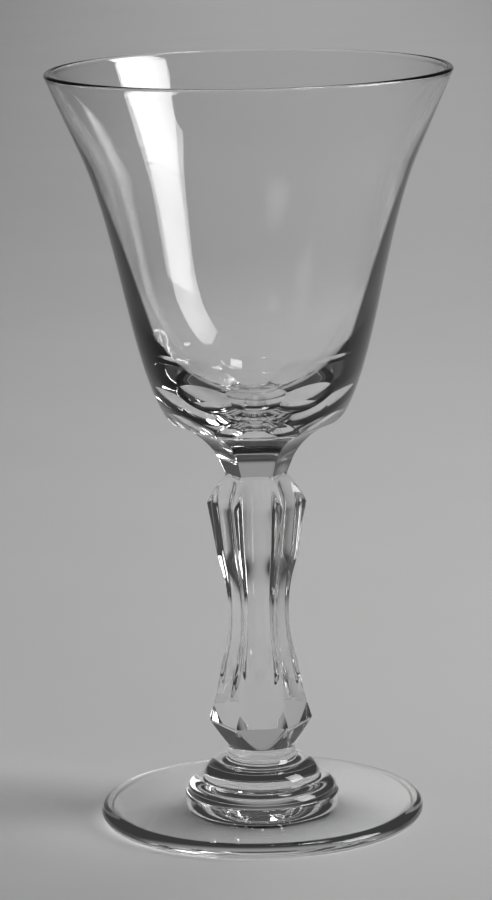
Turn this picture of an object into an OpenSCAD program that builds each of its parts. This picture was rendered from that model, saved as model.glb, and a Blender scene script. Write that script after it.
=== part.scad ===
// Sherry glass: a blown bowl, a fluted stem and a stepped foot, fused at two seats.
// Millimetres, +Z up, origin on the table at the centre of the foot.

/* [Heights] */
// Height of the foot, from the table to its seat under the stem
foot_h = 12.8; // [12.4:0.1:14]
// Height of the stem between its two seats
stem_h = 48; // [46:0.5:52]
// Height of the bowl above its seat on the stem
bowl_h = 69.2; // [62:0.2:76]

/* [Bowl] */
// Width across the rim
rim_d = 68.8; // [62:0.2:76]
// How far the rim leans out for each millimetre of height
rim_flare = 0.42; // [0.3:0.01:0.55]
// Thickness of the wall at the rim
rim_wall = 1.1; // [0.9:0.1:1.8]
// Thickness of the wall half way up the bowl
side_wall = 1.9; // [1.2:0.1:2.6]
// Width of the bowl at its waist, half way up
waist_d = 44.8; // [42:0.2:47]
// Height of the waist above the seat
waist_z = 33.7; // [30:0.1:37]
// How far the waist leans out for each millimetre of height
waist_flare = 0.22; // [0.16:0.01:0.28]
// Width of the round bowl where the lower panels begin
base_d = 27.2; // [26.6:0.1:28]
// Height of that place above the seat
base_z = 8.3; // [8.1:0.1:8.6]
// Thickness of solid glass under the inside of the bowl
floor_z = 11; // [10:0.2:13]

/* [Panels] */
// Number of panels and flutes round the glass
panels = 6; // [6:1:6]
// Width across the flats of the neck
neck_flats = 9.36; // [9:0.02:9.8]
// Radius of the wheel that grinds the lower panels
panel_wheel_r = 10.3; // [10.1:0.1:10.6]
// How far a flat of the neck leans out for each millimetre of height
neck_taper = 0.36; // [0.32:0.01:0.4]
// Height of the straight part of the neck above the seat
neck_h = 2; // [1.8:0.1:2.2]
// Height of the flat upper facet of a panel
facet_h = 3.7; // [3:0.1:4.2]
// Depth of the flat upper facet of a panel
facet_depth = 4.5; // [4:0.1:5]

/* [Stem] */
// Width of the upper knop
top_knop_d = 17.2; // [16.8:0.1:17.6]
// Distance of the upper knop below the upper seat
top_knop_drop = 5.2; // [5:0.1:5.5]
// Height of the short collar under the upper seat
collar_h = 0.5; // [0.3:0.1:0.7]
// Width of the lower knop
low_knop_d = 18; // [17.6:0.1:18.4]
// Height of the lower knop above the lower seat
low_knop_rise = 4.4; // [4:0.1:4.8]
// Width of the lower seat
low_seat_d = 11.6; // [11:0.1:12]

/* [Flutes] */
// Radius of a flute across its width
flute_r = 8; // [7.6:0.1:8.6]
// Radius of the wheel that cuts the flutes at the waist
flute_wheel_r = 42; // [40:0.5:45]
// Distance from the axis to the bottom of a flute at the waist
flute_in_r = 4.1; // [3.9:0.05:4.2]
// Height of the waist above the lower seat
flute_z = 23.3; // [22.8:0.1:24]
// Lean of a flute as it nears the upper knop, in degrees
run_lean = 5.7; // [5:0.1:6.4]
// Distance from the axis to the arched leaf at the upper knop
leaf_in_r = 6.64; // [6.5:0.02:6.8]
// Lean of the leaf towards the collar, in degrees
leaf_lean = 22; // [20:0.5:24]
// Distance from the axis to the flat panel's crest over the lower knop
crest_in_r = 6.58; // [6.4:0.02:6.7]
// Height of the crest above the lower knop
crest_rise = 4.8; // [4.4:0.1:5.2]

/* [Foot] */
// Width of the foot
foot_d = 56; // [50:0.5:62]
// Thickness of the foot at its edge
foot_edge = 2.7; // [2.2:0.1:3.2]
// Height of the disc where the rings begin
disc_z = 4.3; // [4:0.1:4.6]
// Width of the large ring
ring_low_d = 26; // [25:0.2:28]
// Height of the top of the large ring
ring_low_z = 6.8; // [6.4:0.1:7]
// Width of the middle ring
ring_mid_d = 20.2; // [19.6:0.2:21]
// Height of the top of the middle ring
ring_mid_z = 9.9; // [9.5:0.1:10.2]
// Width of the small ring at its lower edge
ring_top_d = 13.6; // [13:0.2:14.4]
// Width of the flat ring that the foot stands on
ring_flat = 1.6; // [1.2:0.1:4]
// Depth of the hollow under the foot
hollow_h = 0.8; // [0.4:0.1:1.2]

/* [Node] */
// Which piece to draw

/* [Hidden] */
$fn = 144;
curve_steps = 14;
arc_steps = 8;
glass_tint = [0.86, 0.9, 0.92, 0.45];
low_seat_z = foot_h;
high_seat_z = foot_h + stem_h;
neck_in_r = neck_flats / 2;
half_panel = 180 / panels;

// A point t of the way along a smooth curve with two ends and two handles
function bend(a, b, c, d, t) =
    a * pow(1 - t, 3) + 3 * b * t * pow(1 - t, 2) + 3 * c * t * t * (1 - t) + d * pow(t, 3);
function curve(a, b, c, d) = [for (i = [0:curve_steps]) bend(a, b, c, d, i / curve_steps)];
// Points of an elliptical arc from one angle to another
function arc(centre, size, from, to) =
    [for (i = [0:arc_steps]) let (t = from + (to - from) * i / arc_steps)
        centre + [size[0] * cos(t), size[1] * sin(t)]];

// Copies of a cut, one in the middle of each panel, the first facing -Y
module round_panels() {
    for (i = [0:panels - 1]) rotate(-90 + i * 360 / panels) children();
}

// Outside of the round bowl from the panels to the rim
function bowl_outside() =
    let (
        low_handle = 5.3,
        low_lean = 38,
        mid_handle_low = 9.2,
        mid_handle_high = 20,
        rim_handle = 16,
        base = [base_d / 2, base_z],
        mid = [waist_d / 2, waist_z],
        rim = [rim_d / 2, bowl_h - rim_wall / 2]
    ) concat(
        curve(base, base + low_handle * [cos(low_lean), sin(low_lean)],
            mid - mid_handle_low * [waist_flare, 1], mid),
        curve(mid, mid + mid_handle_high * [waist_flare, 1], rim - rim_handle * [rim_flare, 1], rim)
    );

// Inside of the bowl from the rim down to the middle of its floor
function bowl_inside() =
    let (
        floor_handle = 10.5,
        side_handle = 15,
        mid_handle_high = 20,
        rim_handle = 16,
        mid = [waist_d / 2 - side_wall, waist_z],
        rim = [rim_d / 2 - rim_wall, bowl_h - rim_wall / 2]
    ) concat(
        curve(rim, rim - rim_handle * [rim_flare, 1], mid + mid_handle_high * [waist_flare, 1], mid),
        curve(mid, mid - side_handle * [waist_flare, 1], [floor_handle, floor_z], [0, floor_z])
    );

// A cut that runs straight across a panel, from its outline in distance and height
module straight_cut(outline) {
    rotate([90, 0, 0])
        linear_extrude(height = 2 * base_d, center = true)
            polygon(outline);
}

// Tapered neck, wheel and flat facet that cut one panel of the bowl's base
module bowl_panel_cut() {
    below = -1;
    slant = norm([neck_taper, 1]);
    neck_top = [neck_in_r + neck_taper * neck_h, neck_h];
    wheel = neck_top + panel_wheel_r / slant * [1, -neck_taper];
    straight_cut([
        [neck_in_r + below * neck_taper, below],
        neck_top,
        [base_d, neck_h],
        [base_d, below]
    ]);
    translate([wheel[0], 0, wheel[1]])
        rotate([90, 0, 0])
            cylinder(r = panel_wheel_r, h = 2 * base_d, center = true);
    facet_in = base_d / 2 * cos(half_panel);
    straight_cut([
        [facet_in, base_z],
        [facet_in + 2 * facet_depth, base_z + 2 * facet_h],
        [facet_in + 2 * facet_depth, base_z]
    ]);
}

module bowl() {
    blank_neck_r = 7.5;
    lip_r = rim_wall / 2;
    lip_centre = [rim_d / 2 - lip_r, bowl_h - lip_r];
    color(glass_tint)
        translate([0, 0, high_seat_z])
            difference() {
                rotate_extrude()
                    polygon(concat(
                        [[0, 0], [blank_neck_r, 0]],
                        bowl_outside(),
                        arc(lip_centre, [lip_r, lip_r], 20, 160),
                        bowl_inside()
                    ));
                round_panels() bowl_panel_cut();
            }
}

// Turned shape of the stem before any cut
module stem_blank() {
    low_r = low_knop_d / 2;
    rotate_extrude()
        polygon([[0, 0], [low_seat_d / 2, 0], [low_r, low_knop_rise], [low_r, stem_h], [0, stem_h]]);
}

// Flat panel over the lower knop, from the lower seat up to the waist
module low_panel_cut() {
    below = -1;
    seat_gap = 0.1;
    seat_in = low_seat_d / 2 + seat_gap;
    waist_gap = 7.3;
    top_in = 5.5;
    top_z = flute_z - waist_gap;
    straight_cut([
        [seat_in, below],
        [seat_in, 0],
        [low_knop_d / 2 * cos(half_panel), low_knop_rise],
        [crest_in_r, low_knop_rise + crest_rise],
        [top_in, top_z],
        [base_d, top_z],
        [base_d, below]
    ]);
}

// Hollow flute of the waist, cut by a big wheel with a rounded edge
module waist_cut() {
    translate([flute_in_r + flute_wheel_r, 0, flute_z])
        rotate([90, 0, 0])
            rotate_extrude()
                translate([flute_wheel_r - flute_r, 0])
                    circle(flute_r);
}

// Distance from the axis to a flute where it meets its neighbours at the rim of the upper knop
function knop_in_r() =
    let (knop_r = top_knop_d / 2)
    knop_r * cos(half_panel) + sqrt(pow(flute_r, 2) - pow(knop_r * sin(half_panel), 2)) - flute_r;

// Straight hollow flute at the rim of the upper knop
module knop_cut(in_r, lean, below) {
    translate([in_r, 0, stem_h - top_knop_drop])
        rotate([0, lean, 0])
            translate([flute_r, 0, -below])
                cylinder(r = flute_r, h = below + 2 * top_knop_drop);
}

// Swelling shoulder from the upper knop in to the collar, and the collar's flats in line with the neck's
module shoulder_cut() {
    above = stem_h + 1;
    knop = [top_knop_d / 2 * cos(half_panel), stem_h - top_knop_drop];
    collar = [neck_in_r, stem_h - collar_h];
    knop_handle = [-0.65, 1.8];
    collar_handle = [1.17, -1.3];
    straight_cut(concat(
        curve(knop, knop + knop_handle, collar + collar_handle, collar),
        [[neck_in_r, above], [base_d, above], [base_d, knop[1]]]
    ));
}

module stem() {
    run_below = 13.5;
    leaf_below = 3;
    color(glass_tint)
        translate([0, 0, low_seat_z])
            difference() {
                stem_blank();
                round_panels() low_panel_cut();
                round_panels() waist_cut();
                round_panels() knop_cut(knop_in_r(), run_lean, run_below);
                round_panels() knop_cut(leaf_in_r, -leaf_lean, leaf_below);
                round_panels() shoulder_cut();
            }
}

module foot() {
    edge_r = foot_edge / 2;
    edge_centre = [foot_d / 2 - edge_r, edge_r];
    low_r = ring_low_d / 2;
    mid_r = ring_mid_d / 2;
    top_r = ring_top_d / 2;
    low_round = 2.4;
    mid_round = 2.6;
    seat_r = low_seat_d / 2;
    hollow_r = foot_d / 2 - edge_r - ring_flat;
    cove = [top_r - seat_r, foot_h - ring_mid_z];
    color(glass_tint)
        rotate_extrude()
            polygon(concat(
                [[0, hollow_h]],
                [for (i = [1:arc_steps])
                    let (t = i / arc_steps) [t * hollow_r, hollow_h * (1 - t * t)]],
                arc(edge_centre, [edge_r, edge_r], -90, 80),
                arc([low_r - low_round, disc_z], [low_round, ring_low_z - disc_z], 0, 90),
                arc([mid_r - mid_round, ring_low_z], [mid_round, ring_mid_z - ring_low_z], 0, 90),
                arc([top_r, foot_h], [cove[0], cove[1]], -90, -180),
                [[0, foot_h]]
            ));
}

bowl();
stem();
foot();
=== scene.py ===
"""Sherry glass: fine meshes and clear glass for the bowl, stem and foot, on a plain studio floor."""

import math
from types import SimpleNamespace
from typing import NamedTuple

import bpy
import numpy as np
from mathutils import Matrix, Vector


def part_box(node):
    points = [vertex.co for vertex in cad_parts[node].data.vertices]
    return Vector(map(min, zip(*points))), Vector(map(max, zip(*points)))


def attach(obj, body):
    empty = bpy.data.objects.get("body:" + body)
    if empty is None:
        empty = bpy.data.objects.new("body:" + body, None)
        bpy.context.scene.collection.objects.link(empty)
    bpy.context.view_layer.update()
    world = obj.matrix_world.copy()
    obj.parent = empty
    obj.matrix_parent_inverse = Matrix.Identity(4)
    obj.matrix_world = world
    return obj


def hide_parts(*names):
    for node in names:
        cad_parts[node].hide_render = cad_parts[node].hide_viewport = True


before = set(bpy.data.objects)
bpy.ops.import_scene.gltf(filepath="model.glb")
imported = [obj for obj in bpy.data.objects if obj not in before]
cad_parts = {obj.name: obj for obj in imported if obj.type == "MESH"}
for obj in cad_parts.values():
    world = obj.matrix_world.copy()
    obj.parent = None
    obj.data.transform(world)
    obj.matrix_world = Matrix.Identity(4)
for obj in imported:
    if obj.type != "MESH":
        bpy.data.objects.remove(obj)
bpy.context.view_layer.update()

bl_info = {
    "name": "Sherry glass",
    "version": (1, 0, 0),
    "blender": (4, 5, 0),
    "location": "3D View > Sidebar > Sherry glass",
    "description": "Makes a small stemmed glass with a panelled bowl, a fluted stem and a stepped foot",
    "category": "Add Mesh",
}

MM = 0.001
PANELS = 6
PANEL_STEP = 2 * math.pi / PANELS
HALF_PANEL = PANEL_STEP / 2
COLUMNS = 360
COLUMN_ANGLES = np.arange(COLUMNS) * 2 * math.pi / COLUMNS

# A radius well outside the glass, for a place that a cut doesn't reach
NO_CUT = 99.0

# Material slots of a piece
SEAT_FACE = 1
INSIDE_FACE = 2

BODY = "root"
BLACK = (0.0, 0.0, 0.0, 1.0)
WHITE = (1.0, 1.0, 1.0, 1.0)


# Sizes and looks, as properties of the scene


def length(name, text, millimetres):
    """A property for a length."""
    return bpy.props.FloatProperty(
        name=name, description=text, default=millimetres * MM, min=0.0, precision=5, unit="LENGTH"
    )


def tilt(name, text, degrees):
    """A property for an angle."""
    return bpy.props.FloatProperty(
        name=name, description=text, default=math.radians(degrees), precision=2, subtype="ANGLE"
    )


def ratio(name, text, default):
    """A property for a plain number that isn't negative."""
    return bpy.props.FloatProperty(name=name, description=text, default=default, min=0.0, precision=3)


def share(name, text, default):
    """A property for a share of a whole."""
    return bpy.props.FloatProperty(
        name=name, description=text, default=default, min=0.0, max=1.0, precision=3, subtype="FACTOR"
    )


def power(name, text, watts):
    """A property for the power of a lamp."""
    return bpy.props.FloatProperty(name=name, description=text, default=watts, min=0.0, unit="POWER")


def colour(name, text, default):
    """A property for a colour."""
    return bpy.props.FloatVectorProperty(
        name=name, description=text, default=default, min=0.0, max=1.0, subtype="COLOR"
    )


def box_height(node):
    """Height of a CAD node in millimetres."""
    low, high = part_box(node)
    return (high[2] - low[2]) / MM


def box_width(node):
    """Width of a CAD node in millimetres."""
    low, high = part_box(node)
    return (high[0] - low[0]) / MM


def seat_height(node):
    """Height of a CAD node's lower end above the table, in millimetres."""
    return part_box(node)[0][2] / MM


class BowlSizes(bpy.types.PropertyGroup):
    """Sizes of the blown bowl and the panels ground into its base."""

    height: length("Height", "Height above the seat on the stem", box_height("bowl"))
    rim_d: length("Rim width", "Width across the rim", box_width("bowl"))
    rim_flare: ratio("Rim flare", "Lean of the rim for each unit of height", 0.42)
    rim_wall: length("Rim wall", "Thickness of the wall at the rim", 1.1)
    side_wall: length("Side wall", "Thickness of the wall half way up", 1.9)
    waist_d: length("Waist width", "Width half way up", 44.8)
    waist_z: length("Waist height", "Height of the waist above the seat", 33.7)
    waist_flare: ratio("Waist flare", "Lean of the waist for each unit of height", 0.22)
    base_d: length("Base width", "Width of the round bowl where the lower panels begin", 27.2)
    base_z: length("Base height", "Height of that place above the seat", 8.3)
    floor_z: length("Floor", "Thickness of solid glass under the inside", 11.0)
    neck_flats: length("Neck", "Width across the flats of the neck", 9.36)
    neck_taper: ratio("Neck taper", "Lean of a flat of the neck for each unit of height", 0.36)
    neck_h: length("Neck height", "Height of the straight neck above the seat", 2.0)
    wheel_r: length("Panel wheel", "Radius of the wheel that grinds the lower panels", 10.3)
    facet_h: length("Facet height", "Height of the flat upper facet of a panel", 3.7)
    facet_depth: length("Facet depth", "Depth of the flat upper facet of a panel", 4.5)
    edge: length("Edge softness", "How far the edges between cuts are rounded", 0.12)


class StemSizes(bpy.types.PropertyGroup):
    """Sizes of the cut stem: hollow flutes at the waist and upper knop, flat panels at the lower one."""

    height: length("Height", "Height between the two seats", box_height("stem"))
    seat_d: length("Lower seat", "Width of the lower seat", 11.6)
    low_knop_d: length("Lower knop", "Width of the lower knop", 18.0)
    low_knop_z: length("Lower knop height", "Height of the lower knop above the lower seat", 4.4)
    crest_in: length("Crest depth", "Distance from the axis to a flat panel's crest", 6.58)
    crest_rise: length("Crest height", "Height of the crest above the lower knop", 4.8)
    top_knop_d: length("Upper knop", "Width of the upper knop", 17.2)
    top_knop_drop: length("Upper knop drop", "Distance of the upper knop below the upper seat", 5.2)
    collar_h: length("Collar", "Height of the short collar under the upper seat", 0.5)
    flute_r: length("Flute", "Radius of a flute across its width", 8.0)
    wheel_r: length("Flute wheel", "Radius of the wheel that cuts the flutes at the waist", 42.0)
    waist_in: length("Waist depth", "Distance from the axis to a flute at the waist", 4.1)
    waist_z: length("Waist height", "Height of the waist above the lower seat", 23.3)
    run_lean: tilt("Run lean", "Lean of a flute as it nears the upper knop", 5.7)
    leaf_in: length("Leaf depth", "Distance from the axis to the leaf at the upper knop", 6.64)
    leaf_lean: tilt("Leaf lean", "Lean of the leaf between the upper knop and the collar", 22.0)
    edge: length("Edge softness", "How far the ridges between panels are rounded", 0.3)
    knop_edge: length("Knop softness", "How far the upper knop is rounded in a panel's middle", 0.9)
    arch_edge: length("Arch softness", "How far the edges of the arches on the knops are rounded", 0.12)


class FootSizes(bpy.types.PropertyGroup):
    """Sizes of the cast foot and its rings."""

    height: length("Height", "Height from the table to the seat under the stem", box_height("foot"))
    width: length("Width", "Width of the foot", box_width("foot"))
    edge: length("Edge", "Thickness of the foot at its edge", 2.7)
    disc_z: length("Disc", "Height of the disc where the rings begin", 4.3)
    low_d: length("Large ring", "Width of the large ring", 26.0)
    low_z: length("Large ring top", "Height of the top of the large ring", 6.8)
    low_round: length("Large ring rounding", "How far the large ring is rounded inwards", 2.4)
    mid_d: length("Middle ring", "Width of the middle ring", 20.2)
    mid_z: length("Middle ring top", "Height of the top of the middle ring", 9.9)
    mid_round: length("Middle ring rounding", "How far the middle ring is rounded inwards", 2.6)
    top_d: length("Small ring", "Width of the small ring at its lower edge", 13.6)
    ring_flat: length("Standing ring", "Width of the flat ring that the foot stands on", 1.6)
    hollow_h: length("Hollow depth", "Depth of the hollow under the foot", 0.8)
    soften: length("Softness", "How far corners are rounded by the fire", 0.22)


class GlassLook(bpy.types.PropertyGroup):
    """Finish of the clear glass, and how dark the painted shade on the bowl's edges is."""

    tint: colour("Tint", "Colour of the glass", (0.985, 0.985, 0.985))
    ior: ratio("Bending", "Index of refraction", 1.52)
    # Strength of the painted shade that darkens the bowl's colour where its wall is seen edge on, in place
    # of the dark room seen through those edges
    painted_side_shade: share("Side shade", "How dark the bowl's wall is where it is seen edge on", 0.995)


class StageLook(bpy.types.PropertyGroup):
    """Floor, room, lamps and camera."""

    floor: colour("Floor", "Colour of the floor", (0.6, 0.6, 0.6))
    room: share("Room", "Brightness of the room", 0.04)
    backdrop: share("Backdrop", "Brightness of the backdrop behind the glass", 0.28)
    window_power: power("Window power", "Power of the window lamp", 0.95)
    window_turn: tilt("Window turn", "Turn of the window lamp from the front to the right", 76.0)
    window_gap: length("Window distance", "Level distance of the window lamp from the glass", 600.0)
    window_z: length("Window height", "Height of the window lamp above the table", 366.0)
    window_aim: length("Window aim", "Height on the glass at which the window lamp aims", 90.0)
    window_w: length("Window width", "Width of the window lamp", 360.0)
    window_h: length("Window rise", "Upright size of the window lamp", 420.0)
    window_spread: tilt("Window spread", "Angle over which the window lamp shines", 80.0)
    strip_power: power("Strip power", "Power of the strip lamp over the back of the floor", 2.7)
    strip_side: length("Strip place", "Distance of the strip lamp to the right of the glass", 300.0)
    strip_gap: length("Strip distance", "Distance of the strip lamp behind the glass", 1550.0)
    strip_z: length("Strip height", "Height of the strip lamp above the table", 1100.0)
    strip_aim: length("Strip aim", "Distance to the right of the glass at which it aims", 70.0)
    strip_long: length("Strip length", "Length of the strip lamp", 3000.0)
    strip_w: length("Strip width", "Width of the strip lamp", 200.0)
    strip_spread: tilt("Strip spread", "Angle over which the strip lamp shines", 46.0)
    camera_gap: length("Camera distance", "Level distance of the camera from the glass", 630.0)
    camera_z: length("Camera height", "Height of the camera above the table", 192.0)
    camera_turn: tilt("Camera turn", "Turn of the camera's place round the glass", -1.5)
    camera_yaw: tilt("Camera yaw", "Turn of the camera away from the glass's axis", 0.15)
    camera_pitch: tilt("Camera pitch", "How far the camera looks down", 11.43)
    camera_roll: tilt("Camera roll", "How far the camera leans to the side", -1.14)
    camera_lens: bpy.props.FloatProperty(
        name="Camera lens", description="Focal length in millimetres", default=150.2, unit="CAMERA"
    )


def in_millimetres(group):
    """The values of a property group, its lengths in millimetres and the rest as they are."""
    values = {}
    for name in group.__annotations__:
        is_length = group.bl_rna.properties[name].unit == "LENGTH"
        values[name] = getattr(group, name) / (MM if is_length else 1.0)
    return SimpleNamespace(**values)


# Curves and cuts, in millimetres


def bend(start, leave, arrive, end, steps=160):
    """Points along a smooth curve with two ends and a handle at each."""
    t = np.linspace(0.0, 1.0, steps)[:, None]
    start, leave, arrive, end = (np.array(p, float) for p in (start, leave, arrive, end))
    first_half = start * (1 - t) ** 3 + 3 * leave * t * (1 - t) ** 2
    return first_half + 3 * arrive * t * t * (1 - t) + end * t**3


def arc(centre, size, start, end, steps=40):
    """Points along an elliptical arc, with angles in degrees."""
    t = np.radians(np.linspace(start, end, steps))
    return np.stack([centre[0] + size[0] * np.cos(t), centre[1] + size[1] * np.sin(t)], axis=1)


def radius_at(points, z):
    """Radius of an outline that climbs steadily, at each height."""
    return np.interp(z, points[:, 1], points[:, 0])


def soft_min(a, b, soft):
    """The smaller of two radii, with the edge between them rounded."""
    least = 1e-6
    soft = np.maximum(soft, least)
    part = np.clip(0.5 + 0.5 * (b - a) / soft, 0.0, 1.0)
    return b * (1 - part) + a * part - soft * part * (1 - part)


def even(points, gap):
    """The same outline with points an even distance apart."""
    steps = np.hypot(*np.diff(points, axis=0).T)
    along = np.concatenate([[0.0], np.cumsum(steps)])
    at = np.linspace(0.0, along[-1], max(int(along[-1] / gap), 2))
    return np.stack([np.interp(at, along, points[:, i]) for i in (0, 1)], axis=1)


def fire_polish(points, spread, gap=0.06):
    """An outline with its corners rounded off over about the given distance."""
    reach_in_spreads = 2.9
    line = even(points, gap)
    reach = int(reach_in_spreads * spread / gap)
    weight = np.exp(-0.5 * (np.arange(-reach, reach + 1) * gap / spread) ** 2)
    weight /= weight.sum()
    before = 2 * line[0] - line[reach:0:-1]
    after = 2 * line[-1] - line[-2 : -reach - 2 : -1]
    long = np.concatenate([before, line, after])
    return np.stack([np.convolve(long[:, i], weight, mode="valid") for i in (0, 1)], axis=1)


def leaning_cut(angle, z, at, radius, lean):
    """Radius at which a leaning round cut begins: at is its deepest place (distance, height)."""
    grow = np.cos(angle) * math.cos(lean)
    side = np.sin(angle)
    shift = (z - at[1]) * math.sin(lean) - at[0] * math.cos(lean) - radius
    square = grow**2 + side**2
    inside = (grow * shift) ** 2 - square * (shift**2 - radius**2)
    near = (-grow * shift - np.sqrt(np.maximum(inside, 0.0))) / square
    return np.where(inside > 0, near, NO_CUT)


def wheel_cut(angle, z, deep, height, wheel, edge):
    """Radius at which a big wheel with a rounded edge begins to cut, found from the outside inwards."""
    search_from = 12.0
    search_to = 2.0
    step = 0.1
    halvings = 24
    centre = deep + wheel
    ring = wheel - edge

    def outside(r):
        reach = np.hypot(r * np.cos(angle) - centre, z - height) - ring
        return reach**2 + (r * np.sin(angle)) ** 2 - edge**2

    low = np.full(np.broadcast(angle, z).shape, NO_CUT)
    for r in np.arange(search_from, search_to, -step):
        low = np.where((outside(r) > 0) & (outside(r + step) <= 0), r, low)
    cut = low < NO_CUT
    inner = np.where(cut, low, 0.0)
    outer = inner + step
    for _ in range(halvings):
        middle = (inner + outer) / 2
        in_glass = outside(middle) > 0
        inner = np.where(in_glass, middle, inner)
        outer = np.where(in_glass, outer, middle)
    return np.where(cut, (inner + outer) / 2, NO_CUT)


def round_panels(cut, soft):
    """Radius all round from a function of the angle to a panel's middle, with soft ridges."""

    def whole(angle, z):
        inner = np.abs((angle + HALF_PANEL) % PANEL_STEP - HALF_PANEL)
        return soft_min(cut(inner, z), cut(PANEL_STEP - inner, z), soft)

    return whole


# Meshes


def ring_points(radius, z):
    """A ring of points in millimetres, the first one towards -Y."""
    radius = np.broadcast_to(radius, COLUMNS)
    across = radius * np.sin(COLUMN_ANGLES)
    deep = -radius * np.cos(COLUMN_ANGLES)
    return np.stack([across, deep, np.full(COLUMNS, z)], axis=1)


def ring_faces(count):
    """Four-sided faces between rings, then a fan at the low end and one at the high end."""
    now = np.arange(COLUMNS)
    after = (now + 1) % COLUMNS
    low_end = count * COLUMNS
    high_end = low_end + 1
    faces = []
    for i in range(count - 1):
        here = i * COLUMNS
        there = here + COLUMNS
        faces += np.stack([here + now, here + after, there + after, there + now], axis=1).tolist()
    top = (count - 1) * COLUMNS
    faces += np.stack([np.full(COLUMNS, low_end), after, now], axis=1).tolist()
    faces += np.stack([np.full(COLUMNS, high_end), top + now, top + after], axis=1).tolist()
    return faces


def closed_skin(name, rings, low_z, high_z, seats, inside_from=None):
    """A closed mesh through rings and a point at each end.

    seats names the ends that are seats. Faces from the ring inside_from on are the inside.
    """
    ends = np.array([(0.0, 0.0, low_z), (0.0, 0.0, high_z)])
    points = np.concatenate([*rings, ends]) * MM
    mesh = bpy.data.meshes.new(name)
    mesh.from_pydata(points.tolist(), [], ring_faces(len(rings)))
    slots = np.zeros(len(mesh.polygons), np.int32)
    if inside_from is not None:
        slots[inside_from * COLUMNS :] = INSIDE_FACE
    if "low" in seats:
        slots[-2 * COLUMNS : -COLUMNS] = SEAT_FACE
    if "high" in seats:
        slots[-COLUMNS:] = SEAT_FACE
    mesh.polygons.foreach_set("material_index", slots)
    mesh.shade_smooth()
    mesh.validate()
    piece = bpy.data.objects.new(name, mesh)
    bpy.context.scene.collection.objects.link(piece)
    return piece


def seat_edges_sharp(piece):
    """Marks the edges round each seat, so that shading doesn't run over them."""
    mesh = piece.data
    touching = {}
    for face in mesh.polygons:
        for key in face.edge_keys:
            touching.setdefault(key, set()).add(face.material_index == SEAT_FACE)
    for edge in mesh.edges:
        edge.use_edge_sharp = len(touching[edge.key]) > 1


# Shader nodes


def feed(tree, socket, value):
    """Links an input to another node's output, or sets it to a plain value."""
    if isinstance(value, bpy.types.NodeSocket):
        tree.links.new(value, socket)
    else:
        socket.default_value = value


def add_node(tree, kind, inputs=None, **settings):
    """A node with its settings and, by name or number, its inputs."""
    node = tree.nodes.new(kind)
    for name, value in settings.items():
        setattr(node, name, value)
    for key, value in (inputs or {}).items():
        feed(tree, node.inputs[key], value)
    return node


def calculate(tree, operation, first, second):
    """The result of an operation on two values."""
    return add_node(tree, "ShaderNodeMath", {0: first, 1: second}, operation=operation).outputs[0]


def ramp(tree, value, start, end, top=1.0, kind="SMOOTHSTEP"):
    """A value that climbs from 0 to its top while another goes from start to end."""
    inputs = {"Value": value, "From Min": start, "From Max": end, "To Max": top}
    return add_node(tree, "ShaderNodeMapRange", inputs, interpolation_type=kind).outputs["Result"]


def mix_colours(tree, factor, first, second):
    """A colour between two others."""
    inputs = {"Factor": factor, "A": first, "B": second}
    return add_node(tree, "ShaderNodeMix", inputs, data_type="RGBA").outputs["Result"]


def mix_shaders(tree, factor, first, second):
    """The first shader where the factor is 0 and the second where it is 1."""
    inputs = {"Fac": factor, 1: first, 2: second}
    return add_node(tree, "ShaderNodeMixShader", inputs).outputs["Shader"]


def coordinates(tree, kind):
    """Coordinates of one kind, as three numbers by the name of their axis."""
    place = tree.nodes.new("ShaderNodeTexCoord").outputs[kind]
    return add_node(tree, "ShaderNodeSeparateXYZ", {"Vector": place}).outputs


def grey(value):
    """A grey of the given brightness."""
    return (value, value, value, 1.0)


# Glass


class Finish(NamedTuple):
    """How the glass of a piece was worked, and how light goes through it."""

    ripple_scale: float
    ripple_depth: float
    haze: float
    clear_face_on: float
    clear_edge_on: float
    turns: int


BLOWN = Finish(
    ripple_scale=45.0, ripple_depth=0.03 * MM, haze=0.03, clear_face_on=0.93, clear_edge_on=0.5, turns=7
)
PRESSED = Finish(
    ripple_scale=220.0, ripple_depth=0.01 * MM, haze=0.02, clear_face_on=0.45, clear_edge_on=0.1, turns=7
)
CAST = Finish(
    ripple_scale=90.0, ripple_depth=0.01 * MM, haze=0.03, clear_face_on=0.93, clear_edge_on=0.5, turns=3
)


def glass_skin_group():
    """Shared surface of worked glass: faint tint, faint haze from handling and slow ripples."""
    group = bpy.data.node_groups.get("glass_skin")
    if group:
        return group
    smear_look = {"Scale": 60.0, "Detail": 4.0, "Roughness": 0.6}
    smear_start = 0.45
    smear_end = 0.8
    group = bpy.data.node_groups.new("glass_skin", "ShaderNodeTree")
    sockets = (
        ("Tint", "INPUT", "NodeSocketColor"),
        ("Ripple Scale", "INPUT", "NodeSocketFloat"),
        ("Haze", "INPUT", "NodeSocketFloat"),
        ("Color", "OUTPUT", "NodeSocketColor"),
        ("Roughness", "OUTPUT", "NodeSocketFloat"),
        ("Height", "OUTPUT", "NodeSocketFloat"),
    )
    for name, way, kind in sockets:
        group.interface.new_socket(name=name, in_out=way, socket_type=kind)
    source = group.nodes.new("NodeGroupInput").outputs
    place = group.nodes.new("ShaderNodeTexCoord").outputs["Object"]
    ripple_look = {"Vector": place, "Scale": source["Ripple Scale"], "Detail": 1.0, "Roughness": 0.4}
    ripple = add_node(group, "ShaderNodeTexNoise", ripple_look)
    smear = add_node(group, "ShaderNodeTexNoise", {"Vector": place, **smear_look}).outputs["Fac"]
    marks = ramp(group, smear, smear_start, smear_end, kind="LINEAR")
    results = {
        "Color": mix_colours(group, smear, source["Tint"], WHITE),
        "Roughness": calculate(group, "MULTIPLY", marks, source["Haze"]),
        "Height": ripple.outputs["Fac"],
    }
    add_node(group, "NodeGroupOutput", results)
    return group


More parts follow.
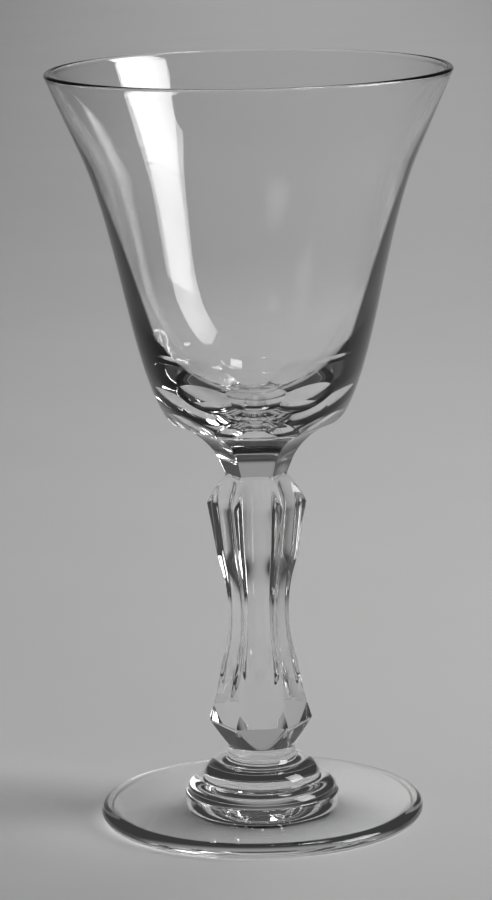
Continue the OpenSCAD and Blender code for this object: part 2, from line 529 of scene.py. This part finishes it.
def painted_edge_shade(tree, tint):
    """Painted shade: darkens the bowl's colour where its wall is seen edge on, in place of the dark room
    seen through its edges. The wall thickens from the rim towards the base.
    """
    # The wall's share of the radius at thick_rise above the seat, and how fast it grows to that
    wall_share = 0.232
    wall_growth = 1.5
    thick_rise = 22.2 * MM
    shade_starts = 14.2 * MM
    shade_full = 23.2 * MM
    soft = 0.015
    depth = bpy.context.scene.glass_look.painted_side_shade
    low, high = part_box("bowl")
    seat = low[2]
    rim = high[2]
    round_axis = add_node(tree, "ShaderNodeTangent", direction_type="RADIAL", axis="Z").outputs["Tangent"]
    turned = add_node(tree, "ShaderNodeLayerWeight", {"Normal": round_axis}).outputs["Facing"]
    height = coordinates(tree, "Object")["Z"]
    below_rim = ramp(tree, height, rim, seat + thick_rise, kind="LINEAR")
    wall = calculate(tree, "MULTIPLY", calculate(tree, "POWER", below_rim, wall_growth), wall_share)
    within_wall = calculate(tree, "SUBTRACT", wall, turned)
    painted_darkest = ramp(tree, height, seat + shade_starts, seat + shade_full, depth)
    # Painted shade: how far the colour is mixed towards black across the wall seen edge on
    shade = ramp(tree, within_wall, -soft, soft, painted_darkest)
    return mix_colours(tree, shade, tint, BLACK)


def let_light_through(tree, glass, finish):
    """Lamps shine through, less so at a slant, and light caught inside gets out after some turns."""
    path = tree.nodes.new("ShaderNodeLightPath").outputs
    slant = tree.nodes.new("ShaderNodeLayerWeight").outputs["Facing"]
    dimmed = mix_colours(tree, slant, grey(finish.clear_face_on), grey(finish.clear_edge_on))
    shadow = add_node(tree, "ShaderNodeBsdfTransparent", {"Color": dimmed}).outputs["BSDF"]
    way_out = tree.nodes.new("ShaderNodeBsdfTransparent").outputs["BSDF"]
    caught = calculate(tree, "GREATER_THAN", path["Ray Depth"], finish.turns)
    shone_through = mix_shaders(tree, path["Is Shadow Ray"], glass, shadow)
    return mix_shaders(tree, caught, shone_through, way_out)


def clear_glass(name, finish, with_painted_shade=False):
    """Clear glass whose ripples and haze suit how the piece was worked, with painted shade on its edges
    where asked.
    """
    look = bpy.context.scene.glass_look
    material = bpy.data.materials.new(name)
    material.use_nodes = True
    tree = material.node_tree
    skin_look = {"Tint": (*look.tint, 1.0), "Ripple Scale": finish.ripple_scale, "Haze": finish.haze}
    skin = add_node(tree, "ShaderNodeGroup", skin_look, node_tree=glass_skin_group())
    tint = skin.outputs["Color"]
    # The bowl's outside gets painted shade where its wall is seen edge on
    if with_painted_shade:
        tint = painted_edge_shade(tree, tint)
    ripples = {"Strength": 1.0, "Distance": finish.ripple_depth, "Height": skin.outputs["Height"]}
    shader = tree.nodes["Principled BSDF"]
    shader.inputs["Transmission Weight"].default_value = 1.0
    shader.inputs["IOR"].default_value = look.ior
    feed(tree, shader.inputs["Base Color"], tint)
    feed(tree, shader.inputs["Roughness"], skin.outputs["Roughness"])
    feed(tree, shader.inputs["Normal"], add_node(tree, "ShaderNodeBump", ripples).outputs["Normal"])
    surface = tree.nodes["Material Output"].inputs["Surface"]
    feed(tree, surface, let_light_through(tree, shader.outputs["BSDF"], finish))
    return material


def fused_seat():
    """The seats are melted together, so no light turns at them."""
    material = bpy.data.materials.get("fused_seat")
    if material is None:
        material = bpy.data.materials.new("fused_seat")
        material.use_nodes = True
        material.node_tree.nodes["Principled BSDF"].inputs["Alpha"].default_value = 0.0
    return material


def settle(piece, node, material):
    """Gives a piece its glass, hides the node that it stands for and fixes it to the body."""
    piece.data.materials.append(material)
    piece.data.materials.append(fused_seat())
    seat_edges_sharp(piece)
    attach(piece, BODY)
    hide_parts(node)


# Bowl


def bowl_outlines(sizes):
    """Outside and inside of the round bowl, from its base to the rim and from the rim to its floor."""
    low_lean = math.radians(38)
    low_handle = 5.3
    waist_handle_low = 9.2
    waist_handle_high = 20.0
    rim_handle = 16.0
    side_handle = 15.0
    floor_handle = 10.5
    base = np.array([sizes.base_d / 2, sizes.base_z])
    waist = np.array([sizes.waist_d / 2, sizes.waist_z])
    rim = np.array([sizes.rim_d / 2, sizes.height - sizes.rim_wall / 2])
    base_way = np.array([math.cos(low_lean), math.sin(low_lean)])
    waist_way = np.array([sizes.waist_flare, 1.0])
    rim_way = np.array([sizes.rim_flare, 1.0])
    outside = np.concatenate([
        bend(base, base + low_handle * base_way, waist - waist_handle_low * waist_way, waist),
        bend(waist, waist + waist_handle_high * waist_way, rim - rim_handle * rim_way, rim)[1:],
    ])
    side = waist - [sizes.side_wall, 0.0]
    inner_rim = rim - [sizes.rim_wall, 0.0]
    inside = np.concatenate([
        bend(inner_rim, inner_rim - rim_handle * rim_way, side + waist_handle_high * waist_way, side),
        bend(side, side - side_handle * waist_way, (floor_handle, sizes.floor_z), (0.0, sizes.floor_z))[1:],
    ])
    return outside, inside


def bowl_cuts(sizes):
    """Cuts of the base all round: the tapered neck, a round wheel cut and a flat facet on each panel."""
    facet_from = 0.8 * sizes.base_z
    slant = math.hypot(sizes.neck_taper, 1.0)
    neck_in = sizes.neck_flats / 2
    wheel_in = neck_in + sizes.neck_taper * sizes.neck_h + sizes.wheel_r / slant
    wheel_z = sizes.neck_h - sizes.wheel_r * sizes.neck_taper / slant
    facet_in = sizes.base_d / 2 * math.cos(HALF_PANEL)

    def panel(angle, z):
        reach = np.clip(sizes.wheel_r**2 - (z - wheel_z) ** 2, 0.0, None)
        wheel = np.where(z < sizes.neck_h, neck_in + sizes.neck_taper * z, wheel_in - np.sqrt(reach))
        wheel = np.where(z - wheel_z < sizes.wheel_r, wheel, NO_CUT)
        facet = facet_in + (z - sizes.base_z) * sizes.facet_depth / sizes.facet_h
        facet = np.where(z > facet_from, facet, NO_CUT)
        return soft_min(wheel, facet, sizes.edge) / np.cos(angle)

    return round_panels(panel, sizes.edge)


def bowl_base_heights(sizes):
    """Heights of the rings in the cut base, close together where the facets end on the round bowl."""
    neck_rings = 60
    facet_rings = 130
    over_facet = 1.5
    fine_from = 6.5
    fine_to = sizes.base_z + sizes.facet_h + over_facet
    return np.concatenate([
        np.linspace(0.0, fine_from, neck_rings, endpoint=False),
        np.linspace(fine_from, fine_to, facet_rings, endpoint=False),
    ])


def bowl_rings(sizes):
    """Rings up the outside, over the lip and down the inside, and the ring where the inside begins."""
    outer_gap = 0.6
    inner_gap = 0.5
    first_gap = 0.1
    lip_steps = 17
    lip_r = sizes.rim_wall / 2
    seat = seat_height("bowl")
    outside, inside = bowl_outlines(sizes)
    cut = bowl_cuts(sizes)
    heights = bowl_base_heights(sizes)
    rings = []
    for z in heights:
        blank = radius_at(outside, z) if z > sizes.base_z else NO_CUT
        rings.append(ring_points(soft_min(cut(COLUMN_ANGLES, z), blank, sizes.edge), seat + z))
    wall = even(outside[outside[:, 1] > heights[-1] + first_gap], outer_gap)
    lip = arc((sizes.rim_d / 2 - lip_r, sizes.height - lip_r), (lip_r, lip_r), 0, 180, lip_steps)
    outer = np.concatenate([wall[:-1], lip])
    inner = even(inside, inner_gap)[1:-1]
    inside_from = len(rings) + len(outer) - 1
    rings += [ring_points(r, seat + z) for r, z in np.concatenate([outer, inner])]
    return rings, inside_from


class MakeBowl(bpy.types.Operator):
    """Blown bowl with a rounded rim, a thick base and six ground panels"""

    bl_idname = "sherry.make_bowl"
    bl_label = "Make bowl"

    def execute(self, context):
        sizes = in_millimetres(context.scene.bowl_sizes)
        seat = seat_height("bowl")
        rings, inside_from = bowl_rings(sizes)
        piece = closed_skin("bowl_glass", rings, seat, seat + sizes.floor_z, {"low"}, inside_from)
        # Only the outside gets the painted edge shade; the inside keeps plain glass
        settle(piece, "bowl", clear_glass("blown_glass", BLOWN, with_painted_shade=True))
        piece.data.materials.append(clear_glass("blown_glass_inside", BLOWN))
        return {"FINISHED"}


# Stem


def stem_blank(sizes):
    """Outline of the round stem before any cut."""
    low_r = sizes.low_knop_d / 2
    return np.array([(sizes.seat_d / 2, 0.0), (low_r, sizes.low_knop_z), (low_r, sizes.height)])


def low_panel(sizes):
    """Outline of a flat panel's middle, from the lower seat over the lower knop to the waist."""
    seat_gap = 0.1
    waist_gap = 7.3
    top_in = 5.5
    return np.array([
        (sizes.seat_d / 2 + seat_gap, 0.0),
        (sizes.low_knop_d / 2 * math.cos(HALF_PANEL), sizes.low_knop_z),
        (sizes.crest_in, sizes.low_knop_z + sizes.crest_rise),
        (top_in, sizes.waist_z - waist_gap),
    ])


def shoulder(sizes, neck_in):
    """Outline of the swelling ridge from the upper knop in to the collar."""
    knop = np.array([sizes.top_knop_d / 2, sizes.height - sizes.top_knop_drop])
    collar = np.array([neck_in / math.cos(HALF_PANEL), sizes.height - sizes.collar_h])
    knop_handle = np.array([-0.75, 1.8])
    collar_handle = np.array([1.35, -1.3])
    return bend(knop, knop + knop_handle, collar + collar_handle, collar)


def stem_cuts(sizes, neck_in):
    """Cuts of the stem all round: flat panels, hollow flutes, leaves, the shoulder and the collar."""
    run_rise = 6.0
    leaf_below = 3.0
    knop_r = sizes.top_knop_d / 2
    knop_z = sizes.height - sizes.top_knop_drop
    collar_z = sizes.height - sizes.collar_h
    flute_centre = math.sqrt(sizes.flute_r**2 - (knop_r * math.sin(HALF_PANEL)) ** 2)
    knop_in = knop_r * math.cos(HALF_PANEL) + flute_centre - sizes.flute_r
    panel = low_panel(sizes)
    panel_top = panel[-1, 1]
    ridge = shoulder(sizes, neck_in)

    def cuts(angle, z):
        flat = np.where(z < panel_top, radius_at(panel, z), NO_CUT)
        flat = np.where(z > knop_z, radius_at(ridge, z) * math.cos(HALF_PANEL), flat)
        flat = np.where(z > collar_z, neck_in, flat) / np.cos(angle)
        waist = wheel_cut(angle, z, sizes.waist_in, sizes.waist_z, sizes.wheel_r, sizes.flute_r)
        run = leaning_cut(angle, z, (knop_in, knop_z), sizes.flute_r, -sizes.run_lean)
        run = np.where(z > sizes.waist_z + run_rise, run, NO_CUT)
        leaf = leaning_cut(angle, z, (sizes.leaf_in, knop_z), sizes.flute_r, sizes.leaf_lean)
        leaf = np.where(z > knop_z - leaf_below, leaf, NO_CUT)
        hollow = soft_min(soft_min(waist, run, sizes.edge), leaf, sizes.knop_edge)
        return soft_min(hollow, flat, sizes.arch_edge)

    return round_panels(cuts, sizes.edge)


def stem_rings(sizes, neck_in):
    """Rings of the stem from the lower seat to the upper one, with crisp edges at both seats."""
    ring_count = 480
    crisp = 0.4
    seat = seat_height("stem")
    z = np.linspace(0.0, sizes.height, ring_count)[:, None]
    blank = radius_at(stem_blank(sizes), z)
    ease = np.clip(np.minimum(sizes.height - z, z) / crisp, 0.0, 1.0)
    radius = soft_min(stem_cuts(sizes, neck_in)(COLUMN_ANGLES[None, :], z), blank, sizes.arch_edge * ease)
    return [ring_points(row, seat + h) for row, h in zip(radius, z[:, 0])]


class MakeStem(bpy.types.Operator):
    """Cut stem: six flat panels over the lower knop that turn into flutes towards the upper one"""

    bl_idname = "sherry.make_stem"
    bl_label = "Make stem"

    def execute(self, context):
        sizes = in_millimetres(context.scene.stem_sizes)
        neck_in = in_millimetres(context.scene.bowl_sizes).neck_flats / 2
        seat = seat_height("stem")
        rings = stem_rings(sizes, neck_in)
        piece = closed_skin("stem_glass", rings, seat, seat + sizes.height, {"low", "high"})
        settle(piece, "stem", clear_glass("pressed_glass", PRESSED))
        return {"FINISHED"}


# Foot


def foot_outline(sizes, seat_r):
    """Outline from the hollow underneath, round the edge and up the rings to the seat."""
    hollow_steps = 60
    edge_end = 80
    edge_r = sizes.edge / 2
    low_r = sizes.low_d / 2
    mid_r = sizes.mid_d / 2
    top_r = sizes.top_d / 2
    hollow_r = sizes.width / 2 - edge_r - sizes.ring_flat
    hollow = np.linspace(0.0, 1.0, hollow_steps)[1:]
    return np.concatenate([
        np.stack([hollow * hollow_r, sizes.hollow_h * (1 - hollow**2)], axis=1),
        arc((sizes.width / 2 - edge_r, edge_r), (edge_r, edge_r), -90, edge_end),
        arc((low_r - sizes.low_round, sizes.disc_z), (sizes.low_round, sizes.low_z - sizes.disc_z), 0, 90),
        arc((mid_r - sizes.mid_round, sizes.low_z), (sizes.mid_round, sizes.mid_z - sizes.low_z), 0, 90),
        arc((top_r, sizes.height), (top_r - seat_r, sizes.height - sizes.mid_z), -90, -180),
    ])


def foot_rings(sizes, seat_r):
    """Rings of the foot along its outline, softened by the fire and flat on the table."""
    ring_count = 260
    line = fire_polish(foot_outline(sizes, seat_r), sizes.soften)
    line = line[:: max(len(line) // ring_count, 1)]
    line[-1] = (seat_r, sizes.height)
    line[:, 1] = np.maximum(line[:, 1], 0.0)
    return [ring_points(r, z) for r, z in line]


class MakeFoot(bpy.types.Operator):
    """Cast foot: a disc with three rings that step up to the stem"""

    bl_idname = "sherry.make_foot"
    bl_label = "Make foot"

    def execute(self, context):
        sizes = in_millimetres(context.scene.foot_sizes)
        seat_r = in_millimetres(context.scene.stem_sizes).seat_d / 2
        piece = closed_skin("foot_glass", foot_rings(sizes, seat_r), sizes.hollow_h, sizes.height, {"high"})
        settle(piece, "foot", clear_glass("cast_glass", CAST))
        return {"FINISHED"}


# Stage


def floor_paper(tone):
    """Pale matt paper with a faint mottle."""
    mottle = 0.03
    mottle_look = {"Scale": 14.0, "Detail": 3.0}
    material = bpy.data.materials.new("floor_paper")
    material.use_nodes = True
    tree = material.node_tree
    place = tree.nodes.new("ShaderNodeTexCoord").outputs["Object"]
    cloud = add_node(tree, "ShaderNodeTexNoise", {"Vector": place, **mottle_look}).outputs["Fac"]
    darker = (*((1 - mottle) * c for c in tone), 1.0)
    paler = (*((1 + mottle) * c for c in tone), 1.0)
    shader = tree.nodes["Principled BSDF"]
    shader.inputs["Roughness"].default_value = 0.7
    shader.inputs["Specular IOR Level"].default_value = 0.0
    feed(tree, shader.inputs["Base Color"], mix_colours(tree, cloud, darker, paler))
    return material


def make_floor(tone):
    """A wide table top that ends some way behind the glass."""
    side = 6.0
    back = 3.0
    corners = [(-side, -side, 0), (side, -side, 0), (side, back, 0), (-side, back, 0)]
    mesh = bpy.data.meshes.new("floor")
    mesh.from_pydata(corners, [], [(0, 1, 2, 3)])
    mesh.materials.append(floor_paper(tone))
    plane = bpy.data.objects.new("floor", mesh)
    bpy.context.scene.collection.objects.link(plane)


def make_room(look):
    """A dim room with a pale backdrop behind the glass, as directions from the glass."""
    side_edge = 0.90
    side_full = 0.97
    top_edge = 0.75
    top_full = 0.6
    world = bpy.data.worlds.new("studio")
    bpy.context.scene.world = world
    world.use_nodes = True
    tree = world.node_tree
    way = coordinates(tree, "Generated")
    across = ramp(tree, way["Y"], side_edge, side_full)
    up = ramp(tree, way["Z"], top_edge, top_full)
    backdrop = calculate(tree, "MULTIPLY", across, up)
    light = mix_colours(tree, backdrop, grey(look.room), grey(look.backdrop))
    feed(tree, tree.nodes["Background"].inputs["Color"], light)


def facing(way):
    """Turn of a lamp that shines along a direction."""
    level = math.hypot(way[0], way[1])
    return (math.atan2(level, -way[2]), 0.0, math.atan2(way[0], -way[1]) + math.pi)


def add_lamp(name, place, aim, size, watts, spread):
    """A soft rectangular lamp that faces a point."""
    data = bpy.data.lights.new(name, "AREA")
    data.shape = "RECTANGLE"
    data.size = size[0]
    data.size_y = size[1]
    data.energy = watts
    data.spread = spread
    lamp = bpy.data.objects.new(name, data)
    lamp.location = place
    lamp.rotation_euler = facing(np.array(aim) - np.array(place))
    bpy.context.scene.collection.objects.link(lamp)


def add_lamps(look):
    """A window at the right, and a strip lamp that lights the floor behind the glass."""
    turn = look.window_turn
    window = (look.window_gap * math.sin(turn), -look.window_gap * math.cos(turn), look.window_z)
    window_size = (look.window_w, look.window_h)
    add_lamp("window", window, (0, 0, look.window_aim), window_size, look.window_power, look.window_spread)
    strip = (look.strip_side, look.strip_gap, look.strip_z)
    strip_aim = (look.strip_aim, look.strip_gap, 0)
    strip_size = (look.strip_long, look.strip_w)
    add_lamp("strip", strip, strip_aim, strip_size, look.strip_power, look.strip_spread)


def add_camera(look):
    """Camera at the photograph's viewing angle."""
    turn = look.camera_turn
    data = bpy.data.cameras.new("camera")
    data.lens = look.camera_lens
    data.sensor_width = 36.0
    camera = bpy.data.objects.new("camera", data)
    camera.location = (look.camera_gap * math.sin(turn), -look.camera_gap * math.cos(turn), look.camera_z)
    camera.rotation_mode = "XYZ"
    camera.rotation_euler = (math.pi / 2 - look.camera_pitch, 0.0, turn + look.camera_yaw)
    camera.rotation_euler.rotate_axis("Z", look.camera_roll)
    bpy.context.scene.collection.objects.link(camera)
    bpy.context.scene.camera = camera


class MakeStage(bpy.types.Operator):
    """Pale floor, soft studio light and a camera"""

    bl_idname = "sherry.make_stage"
    bl_label = "Make stage"

    def execute(self, context):
        look = context.scene.stage_look
        context.scene.view_settings.view_transform = "Standard"
        make_floor(look.floor)
        make_room(look)
        add_lamps(look)
        add_camera(look)
        return {"FINISHED"}


# Add-on


GROUPS = {
    "bowl_sizes": BowlSizes,
    "stem_sizes": StemSizes,
    "foot_sizes": FootSizes,
    "glass_look": GlassLook,
    "stage_look": StageLook,
}
MAKERS = (MakeBowl, MakeStem, MakeFoot, MakeStage)


class SherryPanel(bpy.types.Panel):
    """Sidebar panel with the pieces, their sizes and the looks"""

    bl_idname = "VIEW3D_PT_sherry_glass"
    bl_label = "Sherry glass"
    bl_space_type = "VIEW_3D"
    bl_region_type = "UI"
    bl_category = "Sherry glass"

    def draw(self, context):
        for maker in MAKERS:
            self.layout.operator(maker.bl_idname)
        for name in GROUPS:
            box = self.layout.box()
            group = getattr(context.scene, name)
            for key in group.__annotations__:
                box.prop(group, key)


def register():
    for kind in (*GROUPS.values(), *MAKERS, SherryPanel):
        bpy.utils.register_class(kind)
    for name, kind in GROUPS.items():
        setattr(bpy.types.Scene, name, bpy.props.PointerProperty(type=kind))


def unregister():
    for name in GROUPS:
        delattr(bpy.types.Scene, name)
    for kind in reversed((*GROUPS.values(), *MAKERS, SherryPanel)):
        bpy.utils.unregister_class(kind)


def main():
    register()
    bpy.ops.sherry.make_bowl()
    bpy.ops.sherry.make_stem()
    bpy.ops.sherry.make_foot()
    bpy.ops.sherry.make_stage()


if __name__ == "__main__":
    main()
